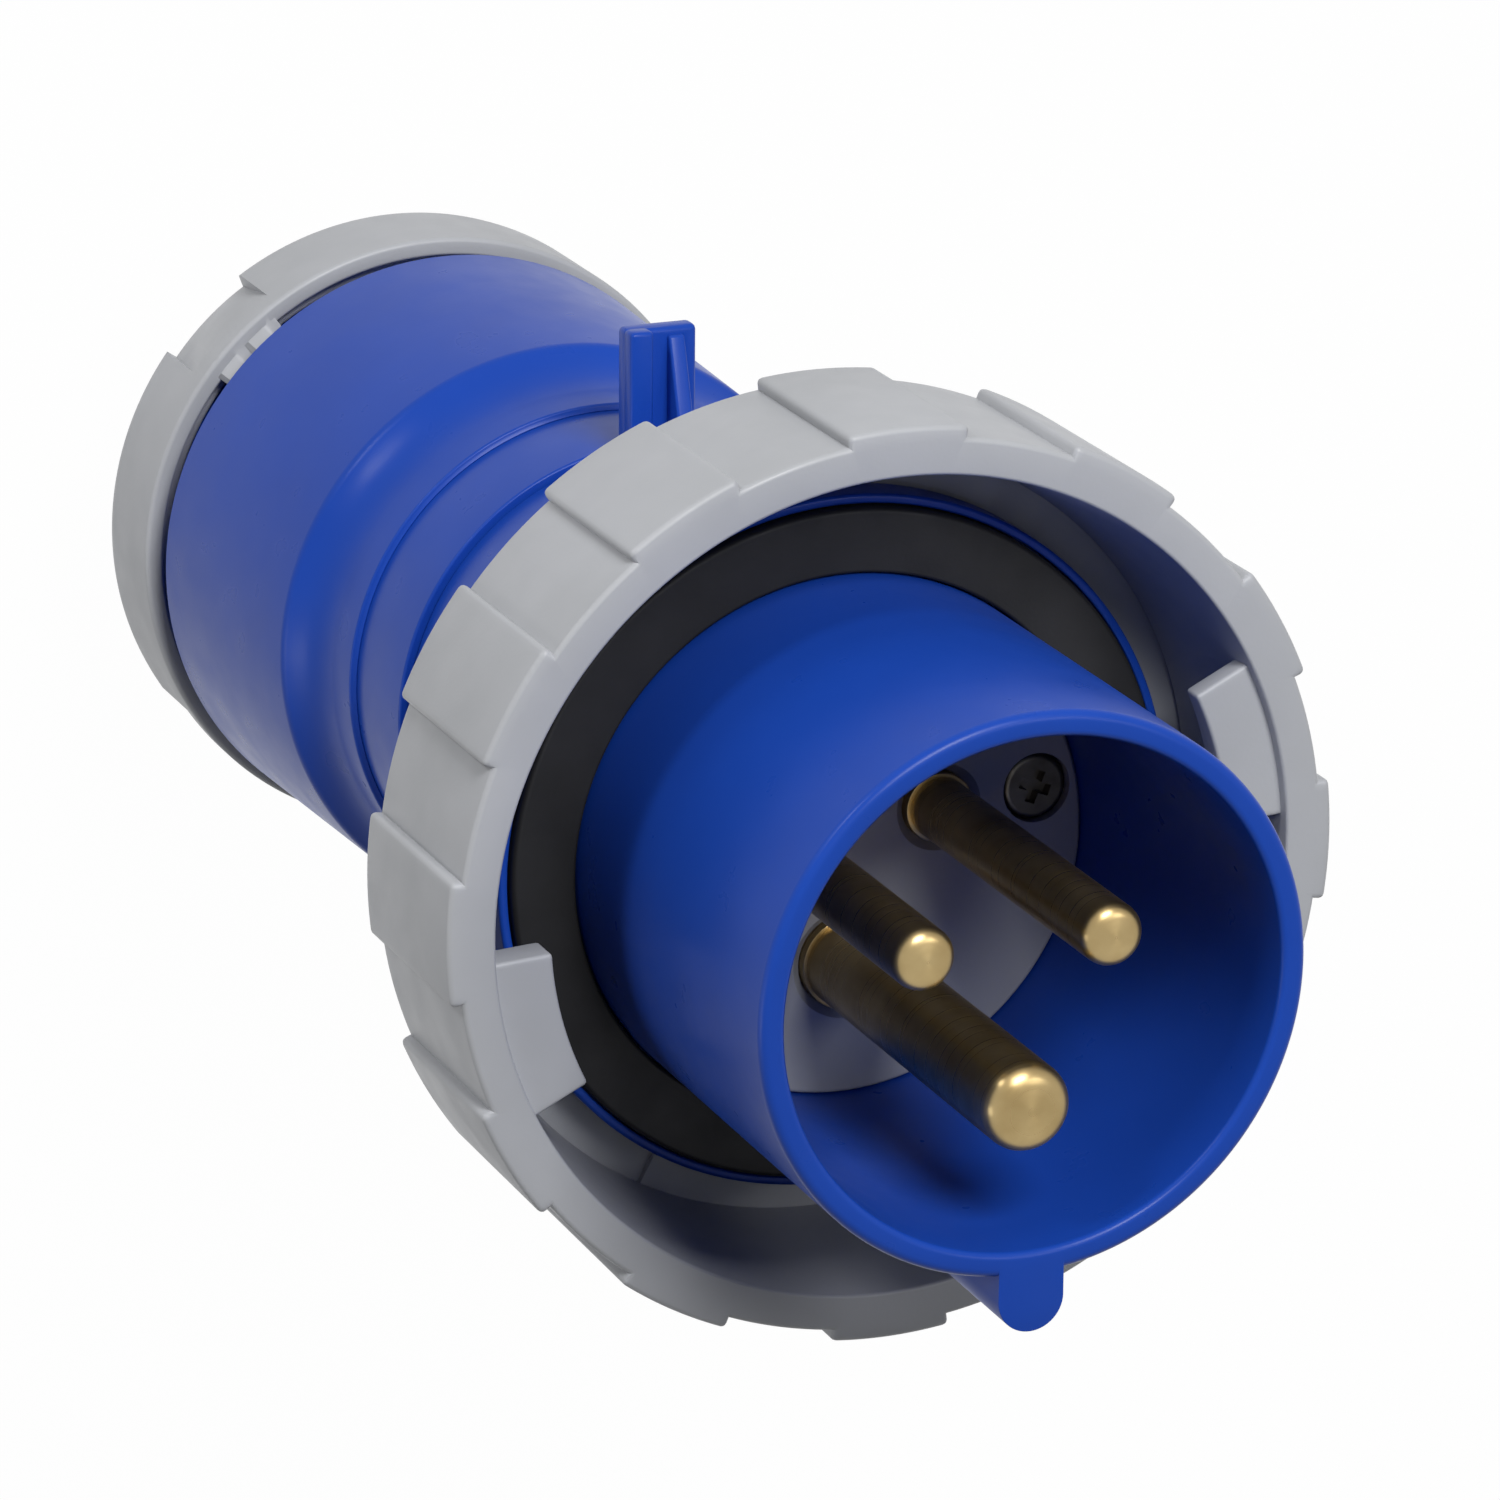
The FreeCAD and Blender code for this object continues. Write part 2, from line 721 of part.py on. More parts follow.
def make_clamp_cage():
    """Ring of claws that the nut presses on to the cable."""
    tip_radius = cage_bore + cage_finger_wall
    section = [
        (cage_y, cage_bore),
        (cage_y, seal_radius, edge),
        (finger_y, seal_radius, edge),
        (finger_y, tip_radius, soft_edge),
        (finger_end_y, tip_radius - cage_tip_slope, edge),
        (finger_end_y, cage_bore, edge),
    ]
    cage = turned(section)
    slot_start = Vector(-cage_slot / 2, finger_y + cage_slot_foot, 0)
    for i in range(cage_finger_count):
        slot = Part.makeBox(cage_slot, finger_end_y, tip_radius + run_past, slot_start)
        slot.rotate(ORIGIN, AXIS, 360 / cage_finger_count * i)
        cage = cage.cut(slot)
    return cage


def make_thrust_washer():
    """Slip washer that lets the nut turn without dragging the claws round."""
    section = [
        (washer_front_y, washer_bore_radius, edge),
        (washer_front_y, washer_radius, edge),
        (washer_rear_y, washer_radius, edge),
        (washer_rear_y, washer_bore_radius, edge),
    ]
    return turned(section)


def make_gland_nut():
    """Domed nut with four grip recesses and two ratchet pawls in its open rim."""
    rim_inner = nut_radius - nut_rim_width
    thread_room_y = thread_end_y + axial_gap
    pocket_radius = washer_radius + axial_gap
    section = [
        (nut_front_y, rim_inner, edge),
        (nut_front_y, nut_radius, soft_edge),
        (nut_shoulder_y, nut_radius, nut_shoulder_rounding),
        (nut_rear_y, nut_rear_radius, nut_rear_rounding),
        (nut_rear_y, nut_cable_hole, soft_edge),
        (nut_rear_y - nut_rear_wall, nut_cable_hole, edge),
        (nut_rear_y - nut_rear_wall, pocket_radius),
        (washer_front_y - axial_gap, pocket_radius),
        (thread_room_y, thread_bore_radius),
        (nut_front_y + nut_rim_depth, thread_bore_radius, edge),
        (nut_front_y + nut_rim_depth, rim_inner),
    ]
    nut = turned(section)
    recess_start_y = nut_front_y + nut_recess_start
    fall = nut_recess_depth / (nut_shoulder_y - recess_start_y)
    recess_end_y = nut_rear_y + run_past
    outside = nut_radius + run_past
    recess = [
        (recess_start_y, nut_radius),
        (recess_end_y, nut_radius - fall * (recess_end_y - recess_start_y)),
        (recess_end_y, outside),
        (recess_start_y, outside),
    ]
    for i in range(nut_recess_count):
        nut = nut.cut(turned(recess, nut_recess_angle, nut_recess_clock + 360 / nut_recess_count * i))
    shapes = [nut]
    for i in range(nut_pawl_count):
        pawl = [
            (nut_front_y - nut_pawl_reach, thread_bore_radius + axial_gap),
            (nut_front_y - nut_pawl_reach, rim_inner - nut_pawl_inset, edge),
            (nut_front_y, rim_inner + weld),
            (nut_front_y + nut_rim_depth + weld, rim_inner + weld),
            (nut_front_y + nut_rim_depth + weld, thread_bore_radius + axial_gap),
        ]
        shapes.append(turned(pawl, nut_pawl_angle, nut_recess_clock + 360 / nut_pawl_count * i))
    return union(shapes)


os.makedirs("parts", exist_ok=True)
save("front_housing", [make_front_housing()])
save("face_gasket", [make_face_gasket()])
save("locking_ring", [make_locking_ring()])
save("pin_carrier", [make_carrier()])
for name, x, z, radius, tip_y, wire_radius, up in pin_rows():
    save(name + "_pin", [make_pin(x, z, radius, tip_y, wire_radius, up)])
    save(name + "_terminal_screw", [make_terminal_screw(x, z, wire_radius, up)])
    save(name + "_pressure_plate", [make_pressure_plate(x, z, wire_radius, up)])
save("right_carrier_screw", [make_carrier_screw(carrier_screw_clock)])
save("left_carrier_screw", [make_carrier_screw(-carrier_screw_clock)])
save("housing_seal", [make_housing_seal()])
save("rear_housing", [make_rear_housing()])
save("gland_seal", [make_gland_seal()])
save("clamp_cage", [make_clamp_cage()])
save("thrust_washer", [make_thrust_washer()])
save("gland_nut", [make_gland_nut()])
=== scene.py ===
import math

import bpy
from mathutils import Matrix, Vector


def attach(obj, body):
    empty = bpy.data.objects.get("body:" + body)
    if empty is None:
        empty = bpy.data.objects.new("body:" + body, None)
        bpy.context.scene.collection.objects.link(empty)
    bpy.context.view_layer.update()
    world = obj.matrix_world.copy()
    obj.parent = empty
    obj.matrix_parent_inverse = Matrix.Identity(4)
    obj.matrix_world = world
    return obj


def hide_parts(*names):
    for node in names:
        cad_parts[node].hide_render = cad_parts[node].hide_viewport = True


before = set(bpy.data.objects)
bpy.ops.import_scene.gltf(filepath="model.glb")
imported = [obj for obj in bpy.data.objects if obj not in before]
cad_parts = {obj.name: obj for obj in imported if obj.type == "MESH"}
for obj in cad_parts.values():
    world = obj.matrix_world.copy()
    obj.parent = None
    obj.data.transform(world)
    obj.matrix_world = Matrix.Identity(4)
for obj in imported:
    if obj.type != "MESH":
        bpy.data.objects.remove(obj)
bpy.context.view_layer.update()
MM = 0.001


# The front housing is one moulding of blue polyamide: sleeve, sealing flange, hub, neck and
# spigot. It is turned from one section of depths below the mouth and radii, with a mould's
# rounded rims, and the keyway rib, the stop rib and the retaining nose are joined to it.
SLEEVE_RADIUS = 22.0
BORE_RADIUS = 19.95
GASKET_BORE = 27.5
LIP_RADIUS = 28.25
HUB_RADIUS = 27.35
SHOULDER_RADIUS = 28.75
NECK_RADIUS = 21.2
SPIGOT_RADIUS = 19.6
SEAL_GROOVE_RADIUS = 17.69
CAVITY_RADIUS = 16.6
FLANGE_FRONT = 37.3
GASKET_FLOOR = 39.4
FLANGE_REAR = 40.9
HUB_REAR = 43.9
CARRIER_SEAT = 44.1
SHOULDER_REAR = 45.7
FLARE_END = 54.7
SEAM_DEPTH = 77.6
SEAL_FRONT = 82.6
SEAL_REAR = 85.2
SPIGOT_END = 93.6
HOUSING_BLUE = (0.010, 0.060, 0.40)
HOUSING_BLUE_SHADE = (0.009, 0.054, 0.365)


def rounded(corners):
    """The points of a closed section of (depth, radius, rounding) corners, in millimetres, with arcs."""
    places = [Vector((corner[0], corner[1])) for corner in corners]
    count = len(corners)
    reaches = []
    for i, corner in enumerate(corners):
        rounding = corner[2] if len(corner) > 2 else 0.0
        back = places[i - 1] - places[i]
        ahead = places[(i + 1) % count] - places[i]
        reaches.append(rounding * math.tan((math.pi - back.angle(ahead)) / 2))
    for i in range(count):
        j = (i + 1) % count
        room = 0.98 * (places[j] - places[i]).length
        share = min(1.0, room / max(reaches[i] + reaches[j], 1e-9))
        reaches[i] *= share
        reaches[j] *= share
    points = []
    for i in range(count):
        if reaches[i] < 1e-4:
            points.append(places[i])
            continue
        back = (places[i - 1] - places[i]).normalized()
        ahead = (places[(i + 1) % count] - places[i]).normalized()
        half = back.angle(ahead) / 2
        radius = reaches[i] * math.tan(half)
        centre = places[i] + (back + ahead).normalized() * (radius / math.sin(half))
        start = places[i] + back * reaches[i] - centre
        turn = (math.pi - 2 * half) * (1 if start.x * ahead.y - start.y * ahead.x > 0 else -1)
        steps = max(2, math.ceil(abs(turn) / math.radians(16)))
        for k in range(steps + 1):
            angle = turn * k / steps
            spun = Vector((start.x * math.cos(angle) - start.y * math.sin(angle),
                           start.x * math.sin(angle) + start.y * math.cos(angle)))
            points.append(centre + spun)
    return points


def start_edit():
    """Opens the active mesh for editing with all of it selected."""
    bpy.ops.object.mode_set(mode="EDIT")
    bpy.ops.mesh.select_mode(type="VERT")
    bpy.ops.mesh.select_all(action="SELECT")


def close_edit():
    """Joins what meets, turns the normals outward and leaves editing."""
    bpy.ops.mesh.select_all(action="SELECT")
    bpy.ops.mesh.remove_doubles(threshold=2e-6)
    bpy.ops.mesh.delete_loose()
    bpy.ops.mesh.select_all(action="SELECT")
    bpy.ops.mesh.normals_make_consistent(inside=False)
    bpy.ops.object.mode_set(mode="OBJECT")


def turned(name, points, steps=180, sweep=360.0, clock=0.0):
    """Spins a (depth, radius) section about the plug's axis; a sector is centred on its clock angle."""
    bpy.ops.object.select_all(action="DESELECT")
    bpy.ops.mesh.primitive_circle_add(vertices=len(points), radius=0.01, fill_type="NOTHING")
    piece = bpy.context.object
    piece.name = piece.data.name = name
    first = math.radians(clock - sweep / 2) if sweep < 360 else 0.0
    for vertex, (depth, r) in zip(piece.data.vertices, points):
        vertex.co = Vector((r * math.sin(first), r * math.cos(first), -depth)) * MM
    start_edit()
    if sweep < 360:
        bpy.ops.mesh.edge_face_add()
    bpy.ops.mesh.spin(steps=steps, angle=math.radians(sweep), center=(0, 0, 0), axis=(0, 0, 1))
    close_edit()
    return piece


def block(name, low, high):
    """A block between two corners in millimetres, to be shaped further."""
    bpy.ops.object.select_all(action="DESELECT")
    low, high = Vector(low) * MM, Vector(high) * MM
    bpy.ops.mesh.primitive_cube_add(size=1, location=(low + high) / 2, scale=high - low)
    piece = bpy.context.object
    piece.name = piece.data.name = name
    bpy.ops.object.transform_apply(location=True, rotation=True, scale=True)
    return piece


def use_modifier(piece, kind, **settings):
    """Adds a modifier with its settings and applies it."""
    bpy.ops.object.select_all(action="DESELECT")
    piece.select_set(True)
    bpy.context.view_layer.objects.active = piece
    modifier = piece.modifiers.new(kind.lower(), kind)
    for setting, value in settings.items():
        setattr(modifier, setting, value)
    bpy.ops.object.modifier_apply(modifier=modifier.name)


def soften(piece, width):
    """Rounds a shape's sharp edges by a width in millimetres."""
    use_modifier(piece, "BEVEL", width=width * MM, segments=3, limit_method="ANGLE",
                 angle_limit=math.radians(35), use_clamp_overlap=True)


def combine(piece, other, operation="UNION"):
    """Joins another shape to a piece, or cuts it away, and removes the other."""
    use_modifier(piece, "BOOLEAN", object=other, operation=operation, solver="EXACT")
    mesh = other.data
    bpy.data.objects.remove(other)
    bpy.data.meshes.remove(mesh)


def fit(piece, body, slot, finish, *nodes):
    """Smooths a finished piece, gives it its material, and puts it in place of its CAD nodes."""
    bpy.ops.object.select_all(action="DESELECT")
    piece.select_set(True)
    bpy.context.view_layer.objects.active = piece
    bpy.ops.object.shade_smooth_by_angle(angle=math.radians(32))
    piece.data.materials.clear()
    piece.data.materials.append(finish)
    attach(piece, body)
    if nodes:
        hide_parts(*nodes)


def finish_nodes(name, metallic=0.0):
    """A node material with its shader and the piece's own coordinates."""
    material = bpy.data.materials.new(name)
    material.use_nodes = True
    nodes = material.node_tree.nodes
    shader = nodes["Principled BSDF"]
    shader.inputs["Metallic"].default_value = metallic
    place = nodes.new("ShaderNodeTexCoord")
    return material, nodes, material.node_tree.links, shader, place.outputs["Object"]


def grain(nodes, links, place, scale, detail=3.0):
    """A cloudy pattern that is fixed to the piece."""
    noise = nodes.new("ShaderNodeTexNoise")
    noise.inputs["Scale"].default_value = scale
    noise.inputs["Detail"].default_value = detail
    links.new(place, noise.inputs["Vector"])
    return noise.outputs["Fac"]


def spread(nodes, links, value, low, high):
    """Spreads a pattern's middle values over a range."""
    ranger = nodes.new("ShaderNodeMapRange")
    for key, number in (("From Min", 0.3), ("From Max", 0.7), ("To Min", low), ("To Max", high)):
        ranger.inputs[key].default_value = number
    links.new(value, ranger.inputs["Value"])
    return ranger.outputs["Result"]


def tint(nodes, links, value, dark, light):
    """Spreads a pattern's middle values between two colours."""
    ramp = nodes.new("ShaderNodeValToRGB")
    ramp.color_ramp.elements[0].position = 0.3
    ramp.color_ramp.elements[0].color = (*dark, 1)
    ramp.color_ramp.elements[1].position = 0.7
    ramp.color_ramp.elements[1].color = (*light, 1)
    links.new(value, ramp.inputs["Fac"])
    return ramp.outputs["Color"]


def relief(nodes, links, shader, value, strength, depth):
    """Bumps a surface by a pattern; the depth is in millimetres."""
    bump = nodes.new("ShaderNodeBump")
    bump.inputs["Strength"].default_value = strength
    bump.inputs["Distance"].default_value = depth * MM
    links.new(value, bump.inputs["Height"])
    links.new(bump.outputs["Normal"], shader.inputs["Normal"])


def moulded(name, dark, light, smooth, rough, texture=1.0, cloud=70.0, specular=0.5):
    """Moulded plastic or rubber: cloudy colour, uneven gloss and the fine grain of the mould."""
    material, nodes, links, shader, place = finish_nodes(name)
    links.new(tint(nodes, links, grain(nodes, links, place, cloud), dark, light), shader.inputs["Base Color"])
    gloss = grain(nodes, links, place, 260.0)
    links.new(spread(nodes, links, gloss, smooth, rough), shader.inputs["Roughness"])
    relief(nodes, links, shader, grain(nodes, links, place, 2600.0, 2.0), 0.12 * texture, 0.06)
    shader.inputs["Specular IOR Level"].default_value = specular
    return material


housing_blue = moulded("blue_polyamide", HOUSING_BLUE_SHADE, HOUSING_BLUE, 0.27, 0.34, texture=0.4,
                       specular=0.15)
housing_section = rounded([
    (0, BORE_RADIUS + 0.05, 0.55), (0, SLEEVE_RADIUS, 0.75), (GASKET_FLOOR, SLEEVE_RADIUS),
    (GASKET_FLOOR, GASKET_BORE), (FLANGE_FRONT, GASKET_BORE, 0.2), (FLANGE_FRONT, LIP_RADIUS, 0.3),
    (FLANGE_REAR, LIP_RADIUS, 0.3), (FLANGE_REAR, HUB_RADIUS, 0.1), (HUB_REAR, HUB_RADIUS, 0.1),
    (HUB_REAR, SHOULDER_RADIUS, 0.4), (SHOULDER_REAR, SHOULDER_RADIUS, 0.8), (47.2, 24.7, 2.0),
    (FLARE_END, NECK_RADIUS, 8.0), (SEAM_DEPTH, NECK_RADIUS, 0.25), (SEAM_DEPTH, SPIGOT_RADIUS, 0.1),
    (SEAL_FRONT, SPIGOT_RADIUS, 0.1), (SEAL_FRONT, SEAL_GROOVE_RADIUS, 0.1),
    (SEAL_REAR, SEAL_GROOVE_RADIUS, 0.1), (SEAL_REAR, SPIGOT_RADIUS, 0.1),
    (SPIGOT_END, SPIGOT_RADIUS, 0.6), (SPIGOT_END, CAVITY_RADIUS, 0.3),
    (CARRIER_SEAT, CAVITY_RADIUS, 0.2), (CARRIER_SEAT, BORE_RADIUS, 0.1)])
front_housing = turned("front_housing_moulding", housing_section, steps=240)

KEY_HALF_WIDTH = 2.65
KEY_ROUND_CENTRE = -23.75
KEY_ROOT = -21.0
KEY_LENGTH = 36.3
bpy.ops.object.select_all(action="DESELECT")
bpy.ops.mesh.primitive_cylinder_add(vertices=56, radius=KEY_HALF_WIDTH * MM, depth=KEY_LENGTH * MM,
                                    location=(0, KEY_ROUND_CENTRE * MM, -KEY_LENGTH / 2 * MM))
key_rib = bpy.context.object
key_rib.name = key_rib.data.name = "keyway_rib"
bpy.ops.object.transform_apply(location=True, rotation=True, scale=True)
for vertex in key_rib.data.vertices:
    if vertex.co.y > (KEY_ROUND_CENTRE + 0.1) * MM:
        vertex.co.y = KEY_ROOT * MM
soften(key_rib, 0.4)
combine(front_housing, key_rib)

STOP_RADIUS = 29.55
STOP_ROOT = 26.6
STOP_FRONT = 40.4
STOP_REAR = 44.4
STOP_CLOCK = 110.0
STOP_ANGLE = 5.0
stop_rib = turned("stop_rib", [
    (STOP_FRONT, STOP_ROOT), (STOP_FRONT, 27.4), (40.9, 29.45), (41.2, STOP_RADIUS), (STOP_REAR, STOP_RADIUS),
    (STOP_REAR, STOP_ROOT)], steps=5, sweep=STOP_ANGLE, clock=STOP_CLOCK)
combine(front_housing, stop_rib)

NOSE_SIDE = 3.1
NOSE_ROOT = 20.3
NOSE_TOP = 32.3
NOSE_RIB_TOP = 31.6
NOSE_SEAT = -75.5
nose_wall = block("nose_wall", (-NOSE_SIDE, NOSE_ROOT, -76.9), (NOSE_SIDE, NOSE_TOP, -75.0))
soften(nose_wall, 0.45)
nose_post = block("nose_post", (-NOSE_SIDE, NOSE_ROOT, NOSE_SEAT), (-1.1, NOSE_TOP, -73.8))
soften(nose_post, 0.35)
nose_rib = block("nose_rib", (0.5, NOSE_ROOT, NOSE_SEAT), (1.9, NOSE_RIB_TOP, -71.0))
for vertex in nose_rib.data.vertices:
    if vertex.co.y > 30 * MM and vertex.co.z > -73 * MM:
        vertex.co.z = -74.6 * MM
soften(nose_rib, 0.25)
for shape in (nose_wall, nose_post, nose_rib):
    combine(front_housing, shape)
fit(front_housing, "housing", "housing_plastic", housing_blue, "front_housing")


# The face gasket is a flat ring of black rubber that lies in the flange. The socket's collar
# is drawn against it. It has small rounded edges and the dull skin of moulded rubber.
RUBBER_DARK = (0.010, 0.010, 0.011)
RUBBER_LIGHT = (0.018, 0.018, 0.020)
GASKET_INNER = 22.15
GASKET_OUTER = 27.35
GASKET_FRONT = 36.6
black_rubber = moulded("black_rubber", RUBBER_DARK, RUBBER_LIGHT, 0.50, 0.62, texture=1.6, cloud=120.0,
                       specular=0.25)
face_gasket = turned("face_gasket_ring", rounded([
    (GASKET_FRONT, GASKET_INNER, 0.3), (GASKET_FRONT, GASKET_OUTER, 0.45), (GASKET_FLOOR, GASKET_OUTER, 0.1),
    (GASKET_FLOOR, GASKET_INNER, 0.1)]), steps=180)
fit(face_gasket, "housing", "gasket_rubber", black_rubber, "face_gasket")


# The pin carrier is a disc of pale grey polyamide that fills the sleeve and insulates the pins.
# It goes in from the front and two screws hold it; its terminal towers are hidden behind it.
CARRIER_GREY = (0.40, 0.41, 0.44)
CARRIER_SHADE = (0.34, 0.35, 0.38)
carrier_grey = moulded("carrier_polyamide", CARRIER_SHADE, CARRIER_GREY, 0.38, 0.48)


def refinish(node, finish):
    """Gives a CAD node that keeps its own mesh a new material."""
    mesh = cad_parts[node].data
    mesh.materials.clear()
    mesh.materials.append(finish)


refinish("pin_carrier", carrier_grey)


# The contact pins are turned from brass bar: two phase pins of 5 mm and a longer earth pin of
# 7 mm, each with a rounded tip and the faint rings that the tool leaves. A place holds the way
# across and up, the pin's radius, the depth of its tip and the radius of its terminal.
BRASS_LIGHT = (0.43, 0.325, 0.16)
BRASS_DARK = (0.34, 0.245, 0.11)
PIN_PLACES = {"live": (-7.6, 2.8, 2.5, 2.8, 3.7), "neutral": (7.6, 2.8, 2.5, 2.8, 3.7),
              "earth": (0.0, -9.1, 3.5, 0.4, 4.1)}
PIN_COLLAR = 0.3
PIN_COLLAR_FRONT = 35.1
PIN_COLLAR_REAR = 38.5
PIN_END = 58.1
TERMINAL_WALL = 1.6
WIRE_HOLE_FLOOR = 47.1


def turned_brass(name, x, y):
    """Brass with the rings of the lathe round its shaft and over its end."""
    material, nodes, links, shader, place = finish_nodes(name, metallic=1.0)
    links.new(tint(nodes, links, grain(nodes, links, place, 300.0), BRASS_DARK, BRASS_LIGHT),
              shader.inputs["Base Color"])
    centre = nodes.new("ShaderNodeMapping")
    centre.inputs["Location"].default_value = (-x * MM, -y * MM, 0)
    links.new(place, centre.inputs["Vector"])
    apart = nodes.new("ShaderNodeSeparateXYZ")
    links.new(centre.outputs["Vector"], apart.inputs["Vector"])
    flat = nodes.new("ShaderNodeCombineXYZ")
    links.new(apart.outputs["X"], flat.inputs["X"])
    links.new(apart.outputs["Y"], flat.inputs["Y"])
    radius = nodes.new("ShaderNodeVectorMath")
    radius.operation = "LENGTH"
    links.new(flat.outputs["Vector"], radius.inputs[0])
    along = nodes.new("ShaderNodeMath")
    along.operation = "ADD"
    links.new(radius.outputs["Value"], along.inputs[0])
    links.new(apart.outputs["Z"], along.inputs[1])
    rings = nodes.new("ShaderNodeTexNoise")
    rings.noise_dimensions = "1D"
    rings.inputs["Scale"].default_value = 4200.0
    rings.inputs["Detail"].default_value = 2.0
    links.new(along.outputs["Value"], rings.inputs["W"])
    links.new(spread(nodes, links, rings.outputs["Fac"], 0.27, 0.34), shader.inputs["Roughness"])
    relief(nodes, links, shader, rings.outputs["Fac"], 0.03, 0.02)
    tangent = nodes.new("ShaderNodeTangent")
    tangent.direction_type = "RADIAL"
    tangent.axis = "Z"
    links.new(tangent.outputs["Tangent"], shader.inputs["Tangent"])
    shader.inputs["Anisotropic"].default_value = 0.6
    shader.inputs["Anisotropic Rotation"].default_value = 0.25
    return material


for name, (x, y, radius, tip, terminal) in PIN_PLACES.items():
    wire = terminal - TERMINAL_WALL
    pin = turned(name + "_contact", rounded([
        (tip, 0.0), (tip + 0.15, radius, radius * 0.45), (PIN_COLLAR_FRONT, radius),
        (PIN_COLLAR_FRONT, radius + PIN_COLLAR, 0.08), (PIN_COLLAR_REAR, radius + PIN_COLLAR),
        (PIN_COLLAR_REAR, terminal, 0.3), (PIN_END, terminal, 0.3), (PIN_END, wire, 0.2),
        (WIRE_HOLE_FLOOR, wire, 0.1), (WIRE_HOLE_FLOOR, 0.0)]), steps=96)
    pin.data.transform(Matrix.Translation((x * MM, y * MM, 0)))
    fit(pin, "housing", "pin_brass", turned_brass(name + "_brass", x, y), name + "_pin")


# The rear housing is the second blue moulding: a collar pushed over the spigot, a cove, the
# slightly tapered barrel and the threaded mouth of the gland, which shows in the nut's gap.
COLLAR_BORE = 19.75
COLLAR_RADIUS = 21.9
COLLAR_STEP = 88.0
COVE_RADIUS = 22.5
COVE_END = 95.07
BARREL_FRONT = 97.5
BARREL_REAR = 126.3
BARREL_FRONT_RADIUS = 25.2
BARREL_REAR_RADIUS = 26.2
BARREL_BORE = 22.5
THREAD_CREST = 23.6
THREAD_ROOT = 22.6
THREAD_PITCH = 3.0
THREAD_STEPS = 44
THREAD_FIRST = 126.5
THREAD_LAST = 138.7
THREAD_FADE = 0.8
MOUTH_REAR = 139.0
MOUTH_BORE = 21.4
MOUTH_FLOOR = 123.6
SEAL_TUBE_BORE = 15.95
SEAL_TUBE_RADIUS = 17.95
SEAL_TUBE_FLOOR = 136.8
SEAT_FRONT = 118.0
SEAT_REAR = 120.5
SEAT_HOLE = 11.0
rear_section = rounded([
    (SEAM_DEPTH, COLLAR_BORE, 0.2), (SEAM_DEPTH, COLLAR_RADIUS, 0.25), (COLLAR_STEP, COLLAR_RADIUS, 0.08),
    (COLLAR_STEP, COVE_RADIUS, 0.25), (COVE_END, COVE_RADIUS, 8.8), (BARREL_FRONT, BARREL_FRONT_RADIUS, 1.4),
    (BARREL_REAR, BARREL_REAR_RADIUS, 0.4), (BARREL_REAR, THREAD_CREST, 0.1)])
rear_section += [Vector((126.6 + 12.0 * k / THREAD_STEPS, THREAD_CREST)) for k in range(THREAD_STEPS + 1)]
rear_section += rounded([
    (MOUTH_REAR, THREAD_CREST - 0.5, 0.2), (MOUTH_REAR, SEAL_TUBE_BORE, 0.4),
    (SEAT_REAR, SEAL_TUBE_BORE, 0.1), (SEAT_REAR, SEAT_HOLE, 0.1),
    (SEAT_FRONT, SEAT_HOLE, 0.4), (SEAT_FRONT, SEAL_TUBE_RADIUS, 0.4),
    (SEAL_TUBE_FLOOR, SEAL_TUBE_RADIUS, 0.4), (SEAL_TUBE_FLOOR, MOUTH_BORE, 0.4),
    (MOUTH_FLOOR, MOUTH_BORE, 0.4), (MOUTH_FLOOR, BARREL_BORE, 1.0), (100.2, BARREL_BORE, 1.5),
    (93.9, COLLAR_BORE, 1.0)])
rear_housing = turned("rear_housing_moulding", rear_section, steps=240)
for vertex in rear_housing.data.vertices:
    depth = -vertex.co.z / MM
    radius = vertex.co.xy.length / MM
    if THREAD_FIRST < depth < THREAD_LAST and abs(radius - THREAD_CREST) < 0.01:
        lead = math.atan2(vertex.co.x, vertex.co.y) / (2 * math.pi)
        across = abs(((depth - BARREL_REAR) / THREAD_PITCH - lead) % 1.0 - 0.5)
        rise = min(1.0, max(0.0, 1.6 - across * 5.0))
        fade = min(1.0, (depth - THREAD_FIRST) / THREAD_FADE, (THREAD_LAST - depth) / THREAD_FADE)
        thread = THREAD_ROOT + (THREAD_CREST - THREAD_ROOT) * rise * fade
        vertex.co.xy *= thread / radius
fit(rear_housing, "housing", "housing_plastic", housing_blue, "rear_housing")


# The locking ring is moulded in grey polyamide. Twelve grip pads stand on its wall, and two
# lugs point inwards, thin at the end that leads. Its web turns on the hub, between stops.
RING_GREY = (0.42, 0.43, 0.455)
RING_SHADE = (0.38, 0.39, 0.41)
RING_INNER = 32.9
RING_OUTER = 35.9
RING_FRONT = 25.3
WEB_FRONT = 41.2
WEB_REAR = 43.6
WEB_BORE = HUB_RADIUS + 0.06
PAD_COUNT = 12
PAD_RADIUS = 36.8
PAD_ANGLE = 15.6
PAD_CLOCK = 0.3
LUG_COUNT = 2
LUG_INNER = 28.1
LUG_ROOT = 34.0
LUG_MIDDLE = 30.0
LUG_FRONT = 26.2
LUG_REAR = 29.4
LUG_CLOCK = 75.0
LUG_ANGLE = 23.0
LUG_RAMP = math.radians(5)
LUG_RAMP_REACH = 0.64
WEB_PAD_INNER = 28.55
WEB_PAD_FRONT = 40.7
WEB_PAD_REAR = 41.7
WEB_PAD_ANGLE = 88.0
WEB_PAD_CLOCK = -15.0
NOTCH_INNER = 26.0
NOTCH_RADIUS = 30.15
NOTCH_FRONT = 39.0
NOTCH_REAR = 45.0
NOTCH_CLOCK = 140.0
NOTCH_ANGLE = 66.6
ring_grey = moulded("ring_polyamide", RING_SHADE, RING_GREY, 0.40, 0.52, texture=1.2)
